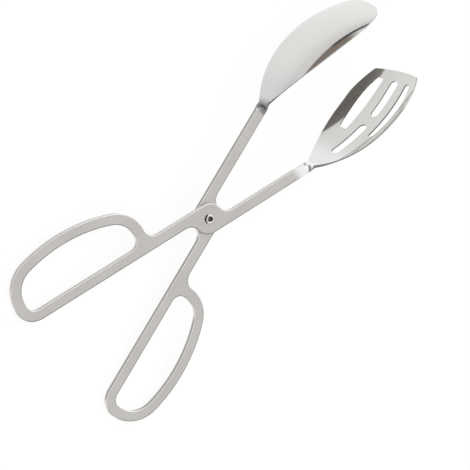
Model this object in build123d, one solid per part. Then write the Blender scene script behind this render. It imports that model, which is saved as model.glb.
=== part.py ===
from build123d import *
from copy import copy
from math import asin, atan2, cos, pi, radians, sin
import os

# Salad tongs of the scissor kind, in mm. Each half is one stamping: a finger loop, a flat arm, a flat
# shank and a dished head that is twisted on edge. The lower half is turned over, so that its loop lies
# on the other side. Its head is narrower and plain, and the upper half's head is slotted. One hollow
# rivet joins them. While a half is made, its pivot is at the origin, its shank runs along +X, its loop
# is on the +Y side, and its sheet stands on the mating face.

# Sheet
sheet_thickness = 2.2
bowl_thickness = 0.8
edge_round_share = 0.24

# Finger loop, given by its hole; the crown's bow and the corner radii are shares of the hole's width
loop_bar = 5.9
loop_hole_length = 68.3
loop_hole_width = 23.3
loop_near_reach = 42.6
loop_peak_share = 0.536
loop_bow_share = 0.38
loop_foot_share = 0.22
loop_shoulder_share = 0.58

# Arm, boss and shank
bar_offset = 2.1
bar_width = 6.45
boss_fillet = 7.0
loop_fillet = 6.5

# Twisted neck; the rim starts to open out a little before the neck's end
shank_length = 60.0
neck_start = 64.0
neck_length = 6.0
neck_strips = 16
flare_lead = 0.8

# Dished heads: each leaves the neck at a small angle and curves along and across. Its rim opens out to
# the widest place and closes to a round tip by two powers.
head_length = 87.6
toe_angle = 7.3
head_long_radius = 103.2
head_cross_radius = 50.0
head_thinning_length = 16.0
head_root_length = 6.0
head_strips = 16
widest_share = 0.645
tip_angle = 88.0
level_share = 0.0001

# The slotted head: how far its neck is twisted, and its rim
slotted_turn = 81.6
slotted_half_width = 23.2
slotted_flare_power = 2.6
slotted_tip_power = 1.55
slotted_tip_roundness = 2.42

# The plain head
plain_turn = 76.7
plain_half_width = 19.5
plain_flare_power = 2.18
plain_tip_power = 1.8
plain_tip_roundness = 3.89

# Front edge of the slotted head, set back from where a plain tip would end
front_cutback = 8.4
front_bow = 2.2
front_corner = 0.9

# Slots, in runs from the neck's end, and the webs of sheet between them, the rim and the front edge
mid_slot_width = 5.8
mid_slot_root = 15.0
rear_slot_length = 26.4
slot_bridge = 6.6
front_web = 6.2
side_slot_root = 34.4
side_slot_offset = 9.6
side_front_web = 7.2
side_rim_web = 6.2
side_slot_round = 1.0
side_slot_shares = (
    (0.0, 0.70), (0.16, 0.84), (0.29, 0.93), (0.42, 0.985), (0.55, 1.0),
    (0.69, 0.95), (0.82, 0.835), (0.93, 0.67), (1.0, 0.54),
)

# Rivet
pin_radius = 1.9
running_clearance = 0.05
face_gap = 0.1
rivet_head_radius = 3.1
rivet_head_height = 0.9
rivet_roll_radius = 2.8
rivet_roll_height = 0.8
rivet_bore_radius = 1.25
rivet_bore_depth = 2.4
rivet_flat_share = 0.45
rivet_shoulder_share = 0.82

# Angle between the two shanks at rest, and how the tongs lie on a table
rest_angle = 30.0
rest_pitch = 5.3
rest_roll = 1.63


def ease(value):
    """A smooth step from 0 to 1."""
    held = min(max(value, 0), 1)
    return held * held * (3 - 2 * held)


def shank_line():
    return -bar_offset - bar_width / 2


def arc(centre, radius, start, end):
    """An arc about a centre between two angles in radians."""
    angles = (start, (start + end) / 2, end)
    return ThreePointArc(*[(centre[0] + radius * cos(a), centre[1] + radius * sin(a)) for a in angles])


def loop_corners():
    """Centres and radii of the loop's foot, shoulder and crown arcs, for the hole's edge."""
    far = -loop_near_reach - loop_hole_length
    near = -loop_near_reach
    low = bar_offset + loop_bar
    foot = loop_foot_share * loop_hole_width
    shoulder = loop_shoulder_share * loop_hole_width
    bow = loop_bow_share * loop_hole_width
    half_chord = loop_peak_share * loop_hole_length
    crown = (half_chord ** 2 + bow ** 2) / (2 * bow)
    crown_x = near - half_chord
    crown_y = low + loop_hole_width - crown

    def shoulder_y(x):
        return crown_y + ((crown - shoulder) ** 2 - (x - crown_x) ** 2) ** 0.5

    return {
        "near_foot": (near - foot, low + foot, foot),
        "near_shoulder": (near - shoulder, shoulder_y(near - shoulder), shoulder),
        "crown": (crown_x, crown_y, crown),
        "far_shoulder": (far + shoulder, shoulder_y(far + shoulder), shoulder),
        "far_foot": (far + foot, low + foot, foot),
    }


def heading(start, end):
    return atan2(end[1] - start[1], end[0] - start[0])


def loop_back(grow, first_angle):
    """The loop's edge from its near shoulder over the crown to its far foot, grown outwards."""
    c = loop_corners()
    near_tip = heading(c["crown"], c["near_shoulder"])
    far_tip = heading(c["crown"], c["far_shoulder"])
    far_side = c["far_shoulder"][0] - c["far_shoulder"][2] - grow
    return [
        arc(c["near_shoulder"], c["near_shoulder"][2] + grow, first_angle, near_tip),
        arc(c["crown"], c["crown"][2] + grow, near_tip, far_tip),
        arc(c["far_shoulder"], c["far_shoulder"][2] + grow, far_tip, pi),
        Line((far_side, c["far_shoulder"][1]), (far_side, c["far_foot"][1])),
        arc(c["far_foot"], c["far_foot"][2] + grow, pi, 3 * pi / 2),
    ]


def loop_hole():
    c = loop_corners()
    low = bar_offset + loop_bar
    side = -loop_near_reach
    return Face(Wire([
        *loop_back(0, 0),
        Line((c["far_foot"][0], low), (c["near_foot"][0], low)),
        arc(c["near_foot"], c["near_foot"][2], -pi / 2, 0),
        Line((side, c["near_foot"][1]), (side, c["near_shoulder"][1])),
    ]))


def flat_outline():
    """The outer edge of loop, arm, boss and shank; the boss flows into both bars with fillets."""
    inner = bar_offset
    outer = bar_offset + bar_width
    web_y = boss_fillet - inner
    web_x = ((outer + boss_fillet) ** 2 - web_y ** 2) ** 0.5
    web = (web_x, web_y)
    web_angle = atan2(web_y, web_x)
    c = loop_corners()
    shoulder = c["near_shoulder"]
    knee_y = outer + loop_fillet
    knee_gap = shoulder[2] + loop_bar + loop_fillet
    knee = (shoulder[0] + (knee_gap ** 2 - (knee_y - shoulder[1]) ** 2) ** 0.5, knee_y)
    knee_angle = heading(shoulder, knee)
    return Face(Wire([
        Line((c["far_foot"][0], inner), (-web_x, inner)),
        arc((-web_x, -web_y), boss_fillet, pi / 2, web_angle),
        arc((0, 0), outer, pi + web_angle, 3 * pi / 2),
        Line((0, -outer), (shank_length, -outer)),
        Line((shank_length, -outer), (shank_length, -inner)),
        Line((shank_length, -inner), (web_x, -inner)),
        arc(web, boss_fillet, 3 * pi / 2, pi + web_angle),
        arc((0, 0), outer, web_angle, pi / 2),
        Line((0, outer), (knee[0], outer)),
        arc(knee, loop_fillet, 3 * pi / 2, pi + knee_angle),
        *loop_back(loop_bar, knee_angle),
    ]))


def flat_part():
    plate = extrude(flat_outline() - loop_hole(), sheet_thickness)
    rims = [e for e in plate.edges() if abs(e.center().Z - sheet_thickness / 2) > sheet_thickness / 4]
    rims = [e for e in rims if e.center().X < shank_length - edge_round_share * sheet_thickness]
    return fillet(rims, edge_round_share * sheet_thickness)


def head_shape(slotted):
    """What differs between the two heads."""
    if slotted:
        return {
            "turn": slotted_turn, "half_width": slotted_half_width, "flare": slotted_flare_power,
            "tip": slotted_tip_power, "roundness": slotted_tip_roundness,
        }
    return {
        "turn": plain_turn, "half_width": plain_half_width, "flare": plain_flare_power,
        "tip": plain_tip_power, "roundness": plain_tip_roundness,
    }


def station(run, shape):
    """The plane across the sheet at a run past the neck's end; a negative run is in the neck."""
    along = min(max(1 + run / neck_length, 0), 1)
    turn = pi / 2 - radians(shape["turn"]) * ease(along)
    drift = neck_length * sin(radians(toe_angle)) / 2 * along ** 2
    swing = max(run, 0) / head_long_radius
    start = -radians(toe_angle) * along
    bow = head_long_radius * Vector(sin(start + swing) - sin(start), cos(start) - cos(start + swing), 0)
    lead = Vector(neck_start + neck_length + min(run, 0), shank_line() - drift, sheet_thickness / 2)
    side = Vector(-sin(start + swing), cos(start + swing), 0)
    up = Vector(0, 0, 1)
    width_way = up * cos(turn) - side * sin(turn)
    face_way = side * cos(turn) + up * sin(turn)
    return Plane(origin=lead + bow, x_dir=width_way, z_dir=width_way.cross(face_way))


def section(run, shape):
    """A bent, round-edged strip across the sheet."""
    thinning = ease((run + neck_length) / head_thinning_length)
    thickness = sheet_thickness + (bowl_thickness - sheet_thickness) * thinning
    bend = ease((run + neck_length) / (2 * neck_length)) / head_cross_radius
    place = station(run, shape)
    half_width = rim(run, shape)
    corner = edge_round_share * thickness
    slant = corner * sin(pi / 4)
    half = thickness / 2
    lean = asin(half_width * bend)
    rise = half_width * (1 - cos(lean)) / sin(lean) if bend > 0 else 0

    def at(side, out, up):
        x = side * (half_width + out * cos(lean) - up * sin(lean))
        y = rise + out * sin(lean) + up * cos(lean)
        return place.from_local_coords((x, y, 0))

    def across(start, height, end):
        if rise > level_share * thickness:
            return ThreePointArc(start, place.from_local_coords((0, height, 0)), end)
        return Line(start, end)

    def corner_arc(side, face_side, outward):
        flat = at(side, -corner, face_side * half)
        edge = at(side, 0, face_side * (half - corner))
        middle = at(side, slant - corner, face_side * (half - corner + slant))
        if outward:
            return ThreePointArc(flat, middle, edge)
        return ThreePointArc(edge, middle, flat)

    def end_line(side, start_side):
        return Line(at(side, 0, start_side * (half - corner)), at(side, 0, -start_side * (half - corner)))

    inner = across(at(-1, -corner, half), half, at(1, -corner, half))
    outer = across(at(1, -corner, -half), -half, at(-1, -corner, -half))
    return Wire([
        inner, corner_arc(1, 1, True), end_line(1, 1), corner_arc(1, -1, False),
        outer, corner_arc(-1, -1, True), end_line(-1, -1), corner_arc(-1, 1, False),
    ])


def rim(run, shape):
    """Half the width of the strip: even in the neck, then opening out and closing to the tip."""
    root = bar_width / 2
    share = max(run + flare_lead, 0) / (head_length + flare_lead)
    if share < widest_share:
        opened = 1 - (1 - share / widest_share) ** shape["flare"]
        return root + (shape["half_width"] - root) * opened
    beyond = (share - widest_share) / (1 - widest_share)
    return shape["half_width"] * (1 - beyond ** shape["tip"]) ** (1 / shape["roundness"])


def head(shape):
    """The neck and the whole dished head, before the slotted one is trimmed."""
    neck_end = head_root_length
    neck_root = shank_length - neck_start - neck_length
    neck_runs = [neck_root + (neck_end - neck_root) * i / neck_strips for i in range(neck_strips + 1)]
    angles = [radians(tip_angle) * i / head_strips for i in range(head_strips + 1)]
    head_runs = [neck_end + (head_length - neck_end) * sin(a) for a in angles]
    neck = Solid.make_loft([section(run, shape) for run in neck_runs])
    return neck + Solid.make_loft([section(run, shape) for run in head_runs])


def head_plane(run, height, shape):
    """The plane that touches the middle of the dished sheet; X runs along the head, Y up across it."""
    place = station(run, shape)
    lean = asin(height / head_cross_radius)
    face_way = place.y_dir * cos(lean) - place.x_dir * sin(lean)
    origin = place.from_local_coords((height, head_cross_radius * (1 - cos(lean)), 0))
    return Plane(origin=origin, x_dir=-place.z_dir, z_dir=-face_way)


def through(face, place):
    """A cutter that passes through the dished sheet both ways."""
    return extrude(place * face, 2 * sheet_thickness, both=True)


def mid_slot(start, end, shape):
    middle = (start + end) / 2
    return through(SlotOverall(end - start, mid_slot_width).face(), head_plane(middle, 0, shape))


def side_slot(side, shape):
    """A slot that is straight towards the middle and bowed towards the rim."""
    length = head_length - front_cutback - side_front_web - side_slot_root
    width = shape["half_width"] - side_rim_web - side_slot_offset
    edge = [((x - 1 / 2) * length, side * (y - 1 / 2) * width) for x, y in side_slot_shares]
    rear = (-length / 2, -side * width / 2)
    front = (length / 2, -side * width / 2)
    outline = Wire([Line(front, rear), Line(rear, edge[0]), Spline(*edge), Line(edge[-1], front)])
    outline = outline.fillet_2d(side_slot_round, outline.vertices())
    place = head_plane(side_slot_root + length / 2, side * (side_slot_offset + width / 2), shape)
    return through(Face(outline), place)


def front_trim(shape):
    """What is cut off in front of the slotted head: a gently bowed edge with rounded corners."""
    reach = head_length - front_cutback
    wide = 2 * shape["half_width"]
    ahead = 2 * front_cutback
    corner_x = -front_bow - front_corner
    corner_y = rim(reach + corner_x, shape)
    bow_y = corner_y - 2 * front_corner
    bow_x = -front_bow * (bow_y / corner_y) ** 2
    bow = ThreePointArc((bow_x, -bow_y), (0, 0), (bow_x, bow_y))
    outline = Wire([
        bow,
        TangentArc(bow @ 1, (corner_x, corner_y), tangent=bow % 1),
        Line((corner_x, corner_y), (corner_x, wide)),
        Line((corner_x, wide), (ahead, wide)),
        Line((ahead, wide), (ahead, -wide)),
        Line((ahead, -wide), (corner_x, -wide)),
        Line((corner_x, -wide), (corner_x, -corner_y)),
        TangentArc(bow @ 0, (corner_x, -corner_y), tangent=-(bow % 0)),
    ])
    return extrude(head_plane(reach, 0, shape) * Face(outline), shape["half_width"] / 2, both=True)


def half(slotted):
    shape = head_shape(slotted)
    plate = flat_part() + head(shape)
    if slotted:
        rear_end = mid_slot_root + rear_slot_length
        plate = plate - front_trim(shape)
        plate = plate - mid_slot(mid_slot_root, rear_end, shape)
        plate = plate - mid_slot(rear_end + slot_bridge, head_length - front_cutback - front_web, shape)
        plate = plate - side_slot(1, shape) - side_slot(-1, shape)
    hole_radius = pin_radius + running_clearance if slotted else pin_radius
    hole = Pos(0, 0, sheet_thickness / 2) * Cylinder(hole_radius, 2 * sheet_thickness)
    return plate - hole


def rivet():
    """A hollow rivet: a low domed head below, and above the end that was rolled over."""
    low = -face_gap / 2 - sheet_thickness
    top = face_gap / 2 + sheet_thickness + running_clearance
    crest = top + rivet_roll_height
    foot = low - rivet_head_height
    bore_end = crest - rivet_bore_depth
    flat = (rivet_flat_share * rivet_head_radius, foot)
    shoulder = (rivet_shoulder_share * rivet_head_radius, low - rivet_shoulder_share * rivet_head_height)
    roll = (rivet_roll_radius + rivet_bore_radius) / 2
    outline = [
        Line((0, foot), flat),
        ThreePointArc(flat, shoulder, (rivet_head_radius, low)),
        Line((rivet_head_radius, low), (pin_radius, low)),
        Line((pin_radius, low), (pin_radius, top)),
        Line((pin_radius, top), (rivet_roll_radius, top)),
        ThreePointArc((rivet_roll_radius, top), (roll, crest), (rivet_bore_radius, top)),
        Line((rivet_bore_radius, top), (rivet_bore_radius, bore_end)),
        Line((rivet_bore_radius, bore_end), (0, bore_end)),
        Line((0, bore_end), (0, foot)),
    ]
    return revolve(Plane.XZ * Face(Wire(outline)), Axis.Z)


def placed(solid):
    """Lay the finished tongs down as they rest on a table."""
    return Rot(0, -rest_pitch, 0) * Rot(-rest_roll, 0, 0) * solid


lift = Pos(0, 0, face_gap / 2)
slotted_half = placed(Rot(0, 0, -rest_angle / 2) * lift * half(True))
plain_half = placed(Rot(0, 0, rest_angle / 2) * Rot(180, 0, 0) * lift * half(False))
pivot_rivet = placed(rivet())
nodes = {"slotted_half": slotted_half, "plain_half": plain_half, "pivot_rivet": pivot_rivet}
box = Compound(children=[copy(s) for s in nodes.values()]).bounding_box()
shift = Pos(-(box.min.X + box.max.X) / 2, -(box.min.Y + box.max.Y) / 2, -box.min.Z)

os.makedirs("parts", exist_ok=True)
for name, solid in nodes.items():
    export_step(shift * solid, f"parts/{name}.step")
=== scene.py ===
import bpy
import numpy as np
from math import radians
from mathutils import Matrix, Vector


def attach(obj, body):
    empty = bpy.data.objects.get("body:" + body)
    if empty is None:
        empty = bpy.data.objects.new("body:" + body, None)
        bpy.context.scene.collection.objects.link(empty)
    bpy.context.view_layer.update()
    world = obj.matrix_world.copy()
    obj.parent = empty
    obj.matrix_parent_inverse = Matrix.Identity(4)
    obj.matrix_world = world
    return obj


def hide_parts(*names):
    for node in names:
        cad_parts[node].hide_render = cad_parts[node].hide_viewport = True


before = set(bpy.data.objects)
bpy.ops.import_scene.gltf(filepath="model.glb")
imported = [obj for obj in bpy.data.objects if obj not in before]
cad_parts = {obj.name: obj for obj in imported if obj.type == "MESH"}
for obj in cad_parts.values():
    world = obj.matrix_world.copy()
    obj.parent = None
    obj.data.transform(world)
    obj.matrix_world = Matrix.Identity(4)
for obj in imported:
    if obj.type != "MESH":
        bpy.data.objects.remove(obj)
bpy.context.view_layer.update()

# Slotted half: one stamping of stainless sheet, with its finger loop, arm, twisted neck and slotted
# dished head. The blank is tumbled to a satin grey, then its head is polished on a wheel.

# The dished sheet in mm, as it was drawn: the neck twists over a short run, then the head curves along
# and across while the sheet gets thinner
SHEET, THINNED = 2.2, 0.8
THINNING_LENGTH = 16.0
NECK_START, NECK_LENGTH = 64.0, 6.0
NECK_END = NECK_START + NECK_LENGTH
SHANK_LINE = -5.325
TOE_ANGLE = radians(7.3)
TOE_DRIFT = NECK_LENGTH * np.sin(TOE_ANGLE) / 2
LONG_RADIUS, CROSS_RADIUS = 103.2, 50.0
SETTLING_ROUNDS = 6
SLOPE_STEP = 0.01


def ease(value):
    """Runs gently from 0 to 1 with the value."""
    held = np.clip(value, 0.0, 1.0)
    return held * held * (3 - 2 * held)


def run_of(points):
    """How far past the neck's end each point lies; negative in the neck."""
    centre_x = NECK_END + LONG_RADIUS * np.sin(TOE_ANGLE)
    centre_y = SHANK_LINE - TOE_DRIFT + LONG_RADIUS * np.cos(TOE_ANGLE)
    swept = np.arctan2(points[:, 0] - centre_x, centre_y - points[:, 1]) + TOE_ANGLE
    run = np.minimum(points[:, 0] - NECK_END, 0.0)
    for _ in range(SETTLING_ROUNDS):
        along = np.clip(1 + run / NECK_LENGTH, 0.0, 1.0)
        ahead = points[:, 0] - NECK_END - run
        aside = points[:, 1] - SHANK_LINE + TOE_DRIFT * along ** 2
        run = np.minimum(run + ahead * np.cos(TOE_ANGLE * along) - aside * np.sin(TOE_ANGLE * along), 0.0)
    return np.where(swept > 0, LONG_RADIUS * swept, run)


def height_of(points, turn_angle):
    """Height above the sheet's middle, and half the sheet's thickness there."""
    run = run_of(points)
    along = np.clip(1 + run / NECK_LENGTH, 0.0, 1.0)
    turn = np.pi / 2 - turn_angle * ease(along)
    start = -TOE_ANGLE * along
    way = start + np.maximum(run, 0.0) / LONG_RADIUS
    mid_x = NECK_END + np.minimum(run, 0.0) + LONG_RADIUS * (np.sin(way) - np.sin(start))
    mid_y = SHANK_LINE - TOE_DRIFT * along ** 2 + LONG_RADIUS * (np.cos(start) - np.cos(way))
    off_x, off_y, off_z = points[:, 0] - mid_x, points[:, 1] - mid_y, points[:, 2] - SHEET / 2
    sideways = -np.sin(way) * off_x + np.cos(way) * off_y
    across = off_z * np.cos(turn) - sideways * np.sin(turn)
    up = sideways * np.cos(turn) + off_z * np.sin(turn)
    bend = ease((run + NECK_LENGTH) / (2 * NECK_LENGTH)) / CROSS_RADIUS
    reach = np.sqrt((bend * across) ** 2 + (1 - bend * up) ** 2)
    height = (2 * up - bend * (across ** 2 + up ** 2)) / (1 + reach)
    thickness = SHEET + (THINNED - SHEET) * ease((run + NECK_LENGTH) / THINNING_LENGTH)
    return height, thickness / 2


def sheet_normals(points, turn_angle, face):
    """The outward direction of the sheet's face, 1 inside the dish and -1 outside."""
    slopes = np.zeros_like(points)
    for axis in range(3):
        step = np.zeros(3)
        step[axis] = SLOPE_STEP
        ahead, ahead_half = height_of(points + step, turn_angle)
        behind, behind_half = height_of(points - step, turn_angle)
        slopes[:, axis] = face * (ahead - behind) - (ahead_half - behind_half)
    return slopes / np.linalg.norm(slopes, axis=1)[:, None]


# How the halves lie: the pivot in metres, each half turned on it by half the opening, and both pitched
# and rolled as the tongs rest on the table. The gap between the halves is in mm.
PIVOT = (-0.021086, 0.0, 0.011245)
HALF_OPENING, PITCH, ROLL = radians(15.0), radians(-5.3), radians(-1.63)
FACE_GAP = 0.1
MM_IN_METRE = 1000


def lie_of(turned_over):
    """The turn from a half as it was drawn to the half as it lies."""
    opened = HALF_OPENING if turned_over else -HALF_OPENING
    turn = Matrix.Rotation(PITCH, 3, "Y") @ Matrix.Rotation(ROLL, 3, "X") @ Matrix.Rotation(opened, 3, "Z")
    if turned_over:
        turn = turn @ Matrix.Rotation(radians(180.0), 3, "X")
    return np.array(turn)


MERGE_DISTANCE = 0.000001
SHARP_ANGLE = radians(40.0)


def joined_copy(name, node_name):
    """A copy of the half's solid, with its facets joined and shaded evenly."""
    sheet = bpy.data.objects.new(name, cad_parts[node_name].data.copy())
    bpy.context.scene.collection.objects.link(sheet)
    bpy.ops.object.select_all(action="DESELECT")
    sheet.select_set(True)
    bpy.context.view_layer.objects.active = sheet
    bpy.ops.mesh.customdata_custom_splitnormals_clear()
    bpy.ops.object.mode_set(mode="EDIT")
    bpy.ops.mesh.select_all(action="SELECT")
    bpy.ops.mesh.remove_doubles(threshold=MERGE_DISTANCE)
    bpy.ops.object.mode_set(mode="OBJECT")
    bpy.ops.object.shade_smooth_by_angle(angle=SHARP_ANGLE)
    even = sheet.modifiers.new("even", "WEIGHTED_NORMAL")
    even.keep_sharp = True
    bpy.ops.object.modifier_apply(modifier="even")
    return sheet


def rows(items, label):
    """One row of three numbers for each corner, point or facet of a mesh."""
    values = np.zeros(3 * len(items))
    items.foreach_get(label, values)
    return values.reshape(-1, 3)


# Where the polish follows the true curve: from a little before the neck, at points this close to a
# face, whose present direction is already near the face's own
BEFORE_NECK = 4.0
FACE_MARGIN = 0.04
AGREE_ANGLE = radians(25.0)

# A facet counts as a cut wall when it agrees less than this with the sheet's face, and cut walls get
# painted shade.
# The upper rims of a head get painted shade too, most near the neck, and it eases off over a run in
# metres.
STEEP_SHARE = 0.5
UPWARD_SHARE = 0.1
RIM_START, RIM_RUN = 0.060, 0.030
RIM_DARKNESS, RIM_EASING = 0.9, 0.6


def stamping(name, node_name, body, steel, turn_angle, turned_over):
    """The stamping's own shape with its facets joined, and its head polished to the true curve."""
    sheet = joined_copy(name, node_name)
    mesh = sheet.data
    corners = np.zeros(len(mesh.loops), dtype=np.int32)
    mesh.loops.foreach_get("vertex_index", corners)
    places = rows(mesh.vertices, "co")

    # Lay the points back as the half was drawn, with its pivot at the origin
    lie = lie_of(turned_over)
    drawn = (places - np.array(PIVOT)) * MM_IN_METRE @ lie
    drawn[:, 2] -= FACE_GAP / 2
    in_head = drawn[:, 0] > NECK_START - BEFORE_NECK
    height, half_thickness = height_of(drawn, turn_angle)

    facing = rows(mesh.corner_normals, "vector")
    for face in (1, -1):
        true_way = sheet_normals(drawn, turn_angle, face) @ lie.T
        on_face = in_head & (np.abs(height - face * half_thickness) < FACE_MARGIN)
        agree = np.einsum("ij,ij->i", facing, true_way[corners])
        chosen = on_face[corners] & (agree > np.cos(AGREE_ANGLE))
        facing[chosen] = true_way[corners][chosen]
    mesh.normals_split_custom_set(facing.tolist())

    # Mark the cut walls and the upper rims of the head for painted shade
    facets = corners.reshape(-1, 3)
    facet_way = rows(mesh.polygons, "normal")
    steep = np.abs(np.einsum("ij,ij->i", facet_way, true_way[facets[:, 0]])) < STEEP_SHARE
    at_faces = in_head & (np.abs(np.abs(height) - half_thickness) < FACE_MARGIN)
    painted_wall_shade = steep & at_faces[facets].all(axis=1)
    upper_rim = steep & in_head[facets].all(axis=1) & ~painted_wall_shade & (facet_way[:, 2] > UPWARD_SHARE)
    from_neck = ease((places[facets[:, 0], 0] - RIM_START) / RIM_RUN)
    darkness = np.where(painted_wall_shade, 1.0, np.where(upper_rim, RIM_DARKNESS - RIM_EASING * from_neck, 0.0))
    mark = mesh.attributes.new("painted_wall_shade", "FLOAT", "FACE")
    mark.data.foreach_set("value", darkness.astype(np.float32))

    mesh.materials.clear()
    mesh.materials.append(steel)
    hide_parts(node_name)
    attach(sheet, body)
    return sheet


def feed(tree, socket, value):
    """Sets a socket to a number, direction or colour, or links it to another node's reading."""
    if isinstance(value, bpy.types.NodeSocket):
        tree.links.new(value, socket)
    else:
        socket.default_value = value


def part(tree, vector, letter):
    """One of the three parts of a place or direction."""
    node = tree.nodes.new("ShaderNodeSeparateXYZ")
    tree.links.new(vector, node.inputs[0])
    return node.outputs[letter]


def agreement(tree, way, other):
    """How far two directions agree: 1 where they are the same."""
    node = tree.nodes.new("ShaderNodeVectorMath")
    node.operation = "DOT_PRODUCT"
    feed(tree, node.inputs[0], way)
    feed(tree, node.inputs[1], other)
    return node.outputs["Value"]


def fade(tree, reading, start, end, at_start=0.0, at_end=1.0, soft=False):
    """Runs from at_start to at_end while the reading goes from start to end."""
    node = tree.nodes.new("ShaderNodeMapRange")
    node.interpolation_type = "SMOOTHSTEP" if soft else "LINEAR"
    labels = ("Value", "From Min", "From Max", "To Min", "To Max")
    for label, value in zip(labels, (reading, start, end, at_start, at_end)):
        feed(tree, node.inputs[label], value)
    return node.outputs[0]


def worked(tree, operation, *values, held=False):
    """Readings and numbers worked into one reading, held between 0 and 1 if asked."""
    node = tree.nodes.new("ShaderNodeMath")
    node.operation = operation
    node.use_clamp = held
    for socket, value in zip(node.inputs, values):
        feed(tree, socket, value)
    return node.outputs[0]


def mottling(tree, place, scale, detail, roughness=0.5):
    """Uneven patches that follow the place on the piece."""
    node = tree.nodes.new("ShaderNodeTexNoise")
    tree.links.new(place, node.inputs["Vector"])
    node.inputs["Scale"].default_value = scale
    node.inputs["Detail"].default_value = detail
    node.inputs["Roughness"].default_value = roughness
    return node.outputs["Fac"]


def run_of_colours(tree, reading, stops):
    """Colours that run from stop to stop, each stop a reading and its colour."""
    node = tree.nodes.new("ShaderNodeValToRGB")
    elements = node.color_ramp.elements
    for end in (0, -1):
        elements[end].position, elements[end].color = stops[end]
    for reading_there, colour in stops[1:-1]:
        elements.new(reading_there).color = colour
    tree.links.new(reading, node.inputs["Fac"])
    return node.outputs["Color"]


def laid_over(tree, below, colour, share):
    """The colour below with another over it, as far as the share from 0 to 1 says."""
    node = tree.nodes.new("ShaderNodeMix")
    node.data_type = "RGBA"
    feed(tree, node.inputs["Factor"], share)
    feed(tree, node.inputs["A"], below)
    feed(tree, node.inputs["B"], colour)
    return node.outputs["Result"]


def relief(tree, height, strength, depth):
    """Small relief of the surface, with its depth in metres."""
    node = tree.nodes.new("ShaderNodeBump")
    node.inputs["Distance"].default_value = depth
    feed(tree, node.inputs["Strength"], strength)
    tree.links.new(height, node.inputs["Height"])
    return node.outputs[0]


def softened(tree, radius):
    """The direction a point would have if every edge were rounded to this radius in metres."""
    node = tree.nodes.new("ShaderNodeBevel")
    node.samples = 6
    node.inputs["Radius"].default_value = radius
    return node.outputs[0]


def near_part(tree, way):
    """How far a direction looks to the half's own near side, which is +Y."""
    node = tree.nodes.new("ShaderNodeVectorTransform")
    node.vector_type = "NORMAL"
    node.convert_from = "WORLD"
    node.convert_to = "OBJECT"
    tree.links.new(way, node.inputs[0])
    return part(tree, node.outputs[0], "Y")


def handle_edges(tree, colour, polished, soft_way, wall_shade_tone):
    """The handle's edges in painted light: a dark painted reflection of the floor's shadow on the far
    side, and on the near side a painted highlight line above a wall in a painted shade tone."""
    reflected_shadow_dark = (0.17, 0.165, 0.155, 1)
    painted_highlight = (1.0, 0.99, 0.975, 1)
    far_edge = fade(tree, near_part(tree, softened(tree, radius=0.0011)), -0.06, -0.30)
    far_share = worked(tree, "SUBTRACT", far_edge, polished, held=True)
    colour = laid_over(tree, colour, reflected_shadow_dark, far_share)
    near = near_part(tree, soft_way)
    ridge_start = fade(tree, near, 0.10, 0.25)
    ridge_end = fade(tree, near, 0.60, 0.80)
    ridge = worked(tree, "SUBTRACT", ridge_start, ridge_end, held=True)
    ridge_share = worked(tree, "SUBTRACT", ridge, polished, held=True)
    colour = laid_over(tree, colour, painted_highlight, ridge_share)
    wall_share = worked(tree, "SUBTRACT", ridge_end, polished, held=True)
    return laid_over(tree, colour, wall_shade_tone, wall_share)


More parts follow.
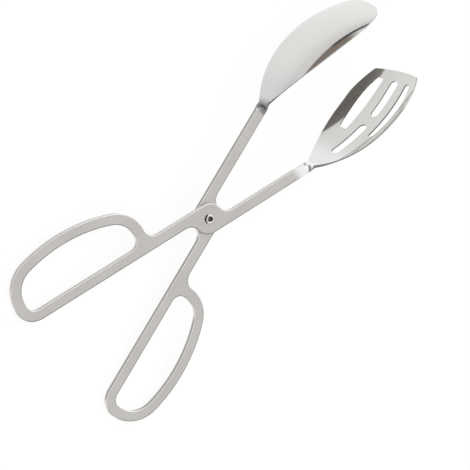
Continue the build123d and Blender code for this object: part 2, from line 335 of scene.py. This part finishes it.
def stamped_steel(name, seed, polish_start, polish_end, gloss_start, gloss_end, neck_reflection_tone, base_tone,
                  head_colour, wall_shade_tone, inside_shade_and_dullness):
    """Satin stainless on the handle and polished on the head, with grain, dull patches, and painted light:
    edge highlights, a neck reflection and shade on walls, rims and inside. Places are in metres along the
    tongs."""
    steel = bpy.data.materials.new(name)
    steel.use_nodes = True
    tree = steel.node_tree
    surface = tree.nodes["Principled BSDF"]
    surface.inputs["Metallic"].default_value = 1.0

    # 0 on the handle, 1 on the polished head
    place = tree.nodes.new("ShaderNodeTexCoord").outputs["Object"]
    along = part(tree, place, "X")
    polished = fade(tree, along, polish_start, polish_end, soft=True)

    # Cloudy dull patches from tumbling, the fine grain of the tumbled face, and hairline scratches
    # along the stamping. Each half has them in other places.
    shift_shares = (1.0, 0.37, 0.71)
    shifted = tree.nodes.new("ShaderNodeMapping")
    shifted.inputs["Location"].default_value = [share * seed for share in shift_shares]
    tree.links.new(place, shifted.inputs["Vector"])
    hairline_scales = (70.0, 2200.0, 2200.0)
    stretched = tree.nodes.new("ShaderNodeMapping")
    stretched.inputs["Scale"].default_value = hairline_scales
    tree.links.new(shifted.outputs[0], stretched.inputs["Vector"])
    cloud = mottling(tree, shifted.outputs[0], scale=42.0, detail=4.0, roughness=0.55)
    grain = mottling(tree, shifted.outputs[0], scale=2600.0, detail=2.0)
    scratch = mottling(tree, stretched.outputs[0], scale=1.0, detail=3.0)

    # Colour: warm grey on the handle, then the tones of neck, base and head where it is polished. The
    # neck's
    #     tone is a painted reflection, bright on the slotted half and dark on the plain one.
    satin_dark, satin_light = (0.600, 0.580, 0.552, 1), (0.645, 0.627, 0.600, 1)
    satin = run_of_colours(tree, cloud, ((0.35, satin_dark), (0.65, satin_light)))
    neck, base = (neck_reflection_tone, neck_reflection_tone, neck_reflection_tone, 1), (base_tone, base_tone, base_tone, 1)
    neck_from, neck_to = 0.0405, 0.0448
    base_from, base_to = 0.0465, 0.055
    head_from = 0.068
    head = run_of_colours(tree, along, ((neck_from, neck), (neck_to, neck), (base_from, base),
                                        (base_to, base), (head_from, head_colour)))
    colour = laid_over(tree, satin, head, polished)

    # Painted highlight on the edges: where the softened direction leaves the real one
    edge_highlight_grey = (0.86, 0.85, 0.835, 1)
    true_way = tree.nodes.new("ShaderNodeNewGeometry").outputs["Normal"]
    soft_way = softened(tree, radius=0.0005)
    edge_highlight_share = fade(tree, agreement(tree, soft_way, true_way), 1.0, 0.9)
    colour = laid_over(tree, colour, edge_highlight_grey, edge_highlight_share)

    # Painted shade on the slot walls and upper rims
    wall_shade_dark = (0.20, 0.19, 0.18, 1)
    painted_wall_shade = tree.nodes.new("ShaderNodeAttribute")
    painted_wall_shade.attribute_name = "painted_wall_shade"
    colour = laid_over(tree, colour, wall_shade_dark, painted_wall_shade.outputs["Fac"])
    colour = handle_edges(tree, colour, polished, soft_way, wall_shade_tone)

    # The side of the head that faces the other half, where the wheel has hardly reached: duller, and
    # darkened
    #     with painted shade
    shaded_dull_grey = (0.50, 0.475, 0.45, 1)
    inside = fade(tree, part(tree, true_way, "Y"), -0.3, -0.6, at_end=inside_shade_and_dullness)
    inside_head = worked(tree, "MULTIPLY", inside, polished)
    colour = laid_over(tree, colour, shaded_dull_grey, inside_head)
    tree.links.new(colour, surface.inputs["Base Color"])

    # Roughness: satin handle, glossy head, with patches and scratches in both
    gloss = fade(tree, along, gloss_start, gloss_end, at_start=0.34, at_end=0.07, soft=True)
    patches = fade(tree, cloud, 0.0, 1.0, at_start=-0.03, at_end=0.03)
    hairlines = fade(tree, scratch, 0.55, 0.8, at_end=0.06)
    added_dullness = 0.25
    roughness = worked(tree, "ADD", worked(tree, "ADD", gloss, patches), hairlines)
    roughness = worked(tree, "MULTIPLY_ADD", inside_head, added_dullness, roughness)
    tree.links.new(roughness, surface.inputs["Roughness"])

    # Relief of the grain, fading on the polished head
    grain_strength = fade(tree, polished, 0.0, 1.0, at_start=0.16, at_end=0.02)
    grain_relief = relief(tree, grain, strength=grain_strength, depth=0.00002)
    tree.links.new(grain_relief, surface.inputs["Normal"])
    return steel


slotted_steel = stamped_steel(
    "slotted_half_steel", seed=0.0, polish_start=0.031, polish_end=0.037, gloss_start=0.031,
    gloss_end=0.037, neck_reflection_tone=1.0, base_tone=0.82, head_colour=(0.665, 0.657, 0.637, 1),
    wall_shade_tone=(0.70, 0.685, 0.665, 1), inside_shade_and_dullness=0.0)
slotted_stamping = stamping("slotted_stamping", "slotted_half", "slotted_side", slotted_steel,
                            turn_angle=radians(81.6), turned_over=False)

# Plain half: a second blank of the same sheet, turned over, with a narrower head that has a round end
# and no slots. It is stamped, tumbled and polished as the other half is, its inside duller and in painted
# shade.
plain_steel = stamped_steel(
    "plain_half_steel", seed=1.9, polish_start=0.0385, polish_end=0.0405, gloss_start=0.042,
    gloss_end=0.050, neck_reflection_tone=0.28, base_tone=0.70, head_colour=(0.775, 0.762, 0.745, 1),
    wall_shade_tone=(0.44, 0.43, 0.41, 1), inside_shade_and_dullness=1.0)
plain_stamping = stamping("plain_stamping", "plain_half", "plain_side", plain_steel,
                          turn_angle=radians(76.7), turned_over=True)

# Rivet: a short hollow tube of plated steel through both halves. Its upper end is rolled over by a
# punch into a bright ring round a hollow, whose shade is painted dark.
RIVET_AXIS = (-0.092333, 0.028445, 0.995322)
HOLLOW_HEIGHT = 0.0009
HOLLOW_MIDDLE = tuple(np.array(PIVOT) + HOLLOW_HEIGHT * np.array(RIVET_AXIS))


def rivet_plating():
    """Bright plating, with painted shade in the hollow and on one side of the roll, and a painted
    highlight.
    """
    plating = bpy.data.materials.new("rivet_plating")
    plating.use_nodes = True
    tree = plating.node_tree
    surface = tree.nodes["Principled BSDF"]
    surface.inputs["Metallic"].default_value = 1.0
    spot = tree.nodes.new("ShaderNodeTexCoord")
    place, facing = spot.outputs["Object"], spot.outputs["Normal"]
    marks = mottling(tree, place, scale=900.0, detail=3.0)
    plating_dark, plating_light = (0.82, 0.80, 0.78, 1), (0.93, 0.915, 0.90, 1)
    colour = run_of_colours(tree, marks, ((0.0, plating_dark), (1.0, plating_light)))

    # Painted shade in the hollow, and a painted highlight at its bottom
    hollow_shade_dark, painted_highlight = (0.06, 0.055, 0.05, 1), (1.0, 0.98, 0.96, 1)
    depth = tree.nodes.new("ShaderNodeVectorMath")
    depth.operation = "DISTANCE"
    depth.inputs[1].default_value = HOLLOW_MIDDLE
    tree.links.new(place, depth.inputs[0])
    hollow = fade(tree, depth.outputs["Value"], 0.0021, 0.0017)
    colour = laid_over(tree, colour, hollow_shade_dark, hollow)
    bottom = worked(tree, "MULTIPLY", fade(tree, part(tree, facing, "Z"), 0.90, 0.97), hollow)
    colour = laid_over(tree, colour, painted_highlight, bottom)

    # Painted shade in a crescent on one side of the rolled ring
    shaded_side, roll_shade_dark = (-0.76, 0.65, 0.0), (0.05, 0.045, 0.04, 1)
    shade_crescent = fade(tree, agreement(tree, facing, shaded_side), 0.25, 0.50)
    colour = laid_over(tree, colour, roll_shade_dark, shade_crescent)
    tree.links.new(colour, surface.inputs["Base Color"])
    tree.links.new(fade(tree, marks, 0.0, 1.0, at_start=0.10, at_end=0.26), surface.inputs["Roughness"])
    tree.links.new(relief(tree, marks, strength=0.25, depth=0.00004), surface.inputs["Normal"])
    return plating


pivot_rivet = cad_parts["pivot_rivet"]
pivot_rivet.data.materials.clear()
pivot_rivet.data.materials.append(rivet_plating())

# Floor: a plain pale sheet that the tongs lie on. The camera sees it nearly white with part of the
# shadow; for the steel it glows with a painted falloff, brightest ahead of the tongs, dimmer on the near
# side.
FLOOR_SIZE = 3.0
FLOOR_DROP = 0.0002
bpy.ops.object.select_all(action="DESELECT")
bpy.ops.mesh.primitive_plane_add(size=FLOOR_SIZE, location=(0, 0, -FLOOR_DROP))
floor = bpy.context.object
floor.name = "floor"
pale = bpy.data.materials.new("pale_floor")
pale.use_nodes = True
tree = pale.node_tree
paint = tree.nodes["Principled BSDF"]
paint.inputs["Base Color"].default_value = (0.82, 0.82, 0.82, 1)
paint.inputs["Roughness"].default_value = 0.9
seen = tree.nodes.new("ShaderNodeLightPath")
spot = tree.nodes.new("ShaderNodeTexCoord").outputs["Object"]
slant = -0.45
nearness = worked(tree, "MULTIPLY_ADD", part(tree, spot, "X"), slant, part(tree, spot, "Y"))
glow_falloff_in_steel = fade(tree, nearness, -0.03, 0.12, at_start=1.13, at_end=0.82)
level_for_camera = 1.06
glow_level = tree.nodes.new("ShaderNodeMix")
feed(tree, glow_level.inputs["Factor"], seen.outputs["Is Camera Ray"])
feed(tree, glow_level.inputs["A"], glow_falloff_in_steel)
feed(tree, glow_level.inputs["B"], level_for_camera)
glow = tree.nodes.new("ShaderNodeEmission")
tree.links.new(glow_level.outputs["Result"], glow.inputs["Strength"])
glow_in_steel, glow_for_camera = 0.7, 0.85
steel_share = worked(tree, "MULTIPLY", seen.outputs["Is Glossy Ray"], glow_in_steel)
glow_share = worked(tree, "MULTIPLY_ADD", seen.outputs["Is Camera Ray"], glow_for_camera, steel_share)
mixed = tree.nodes.new("ShaderNodeMixShader")
tree.links.new(glow_share, mixed.inputs[0])
tree.links.new(paint.outputs[0], mixed.inputs[1])
tree.links.new(glow.outputs[0], mixed.inputs[2])
tree.links.new(mixed.outputs[0], tree.nodes["Material Output"].inputs["Surface"])
floor.data.materials.append(pale)

# Studio light: an even pale tent, which the polished heads mirror. It is open on the near side and low
# down on the far side, has a bright panel high up, and one soft lamp stands ahead of the tongs.
world = bpy.data.worlds.new("tent")
bpy.context.scene.world = world
world.use_nodes = True
tree = world.node_tree
way = tree.nodes.new("ShaderNodeTexCoord").outputs["Generated"]
up_part = part(tree, way, "Z")

# The opening on the near side, from just under the floor's far edge up to a soft upper limit
above_floor = fade(tree, up_part, -0.022, -0.008, soft=True)
below_roof = fade(tree, up_part, 0.72, 0.55, soft=True)
toward_opening = (-0.42, 0.906, 0.0)
near_side = fade(tree, agreement(tree, way, toward_opening), 0.33, 0.50, soft=True)
opening = worked(tree, "MULTIPLY", worked(tree, "MULTIPLY", above_floor, below_roof), near_side)
tent_pale, room_brown = (0.86, 0.86, 0.86, 1), (0.25, 0.215, 0.19, 1)
tent_colour = laid_over(tree, tent_pale, room_brown, opening)

# The dark room low down behind the tent's edge, on the far side
low_down = fade(tree, up_part, 0.36, 0.20, soft=True)
far_side = fade(tree, part(tree, way, "Y"), 0.2, -0.2, soft=True)
room = worked(tree, "MULTIPLY", low_down, far_side)
room_dark = (0.10, 0.088, 0.078, 1)
tent_colour = laid_over(tree, tent_colour, room_dark, room)

# A black line at the horizon, on the side of the heads
horizon = fade(tree, up_part, 0.035, 0.015, soft=True)
heads_side = fade(tree, part(tree, way, "X"), 0.40, 0.52, soft=True)
line = worked(tree, "MULTIPLY", horizon, heads_side)
line_black = (0.02, 0.02, 0.02, 1)
tent_colour = laid_over(tree, tent_colour, line_black, line)

# The brighter panel high up ahead of the tongs
high_up = fade(tree, up_part, 0.66, 0.80, soft=True)
toward_panel = (0.9, 0.3, 0.0)
ahead = fade(tree, agreement(tree, way, toward_panel), 0.27, 0.42, soft=True)
panel = worked(tree, "MULTIPLY", high_up, ahead)
panel_white = (1.5, 1.5, 1.5, 1)
tent_colour = laid_over(tree, tent_colour, panel_white, panel)

# The camera sees plain white round the floor
plain_white = (1, 1, 1, 1)
camera_ray = tree.nodes.new("ShaderNodeLightPath").outputs["Is Camera Ray"]
tent_colour = laid_over(tree, tent_colour, plain_white, camera_ray)
tree.links.new(tent_colour, tree.nodes["Background"].inputs["Color"])

lamp = bpy.data.lights.new("soft_lamp", "AREA")
lamp.shape = "RECTANGLE"
lamp.size = 0.6
lamp.size_y = 0.6
lamp.energy = 2.0
soft_lamp = bpy.data.objects.new("soft_lamp", lamp)
bpy.context.scene.collection.objects.link(soft_lamp)
soft_lamp.location = (0.8, -0.15, 0.6)
soft_lamp.rotation_euler = (-soft_lamp.location).to_track_quat("-Z", "Y").to_euler()
soft_lamp.visible_camera = False
soft_lamp.visible_glossy = False

# Camera: above the near side and behind the loops, rolled so that the tongs point to the upper right.
# Its long lens stands well back, so the tongs look nearly without perspective.
lens = bpy.data.cameras.new("camera")
lens.lens = 107.234
lens.sensor_width = 36.0
lens.clip_start = 0.01
camera = bpy.data.objects.new("camera", lens)
bpy.context.scene.collection.objects.link(camera)
right = Vector((0.617255, -0.529604, 0.581821))
up = Vector((0.720114, 0.678179, -0.146656))
back = Vector((-0.31691, 0.509502, 0.799985))
stand = Vector((-0.25757, 0.37048, 0.6249))
turn = Matrix((right, up, back)).transposed()
camera.matrix_world = Matrix.Translation(stand) @ turn.to_4x4()
bpy.context.scene.camera = camera

bpy.context.scene.view_settings.view_transform = "Standard"
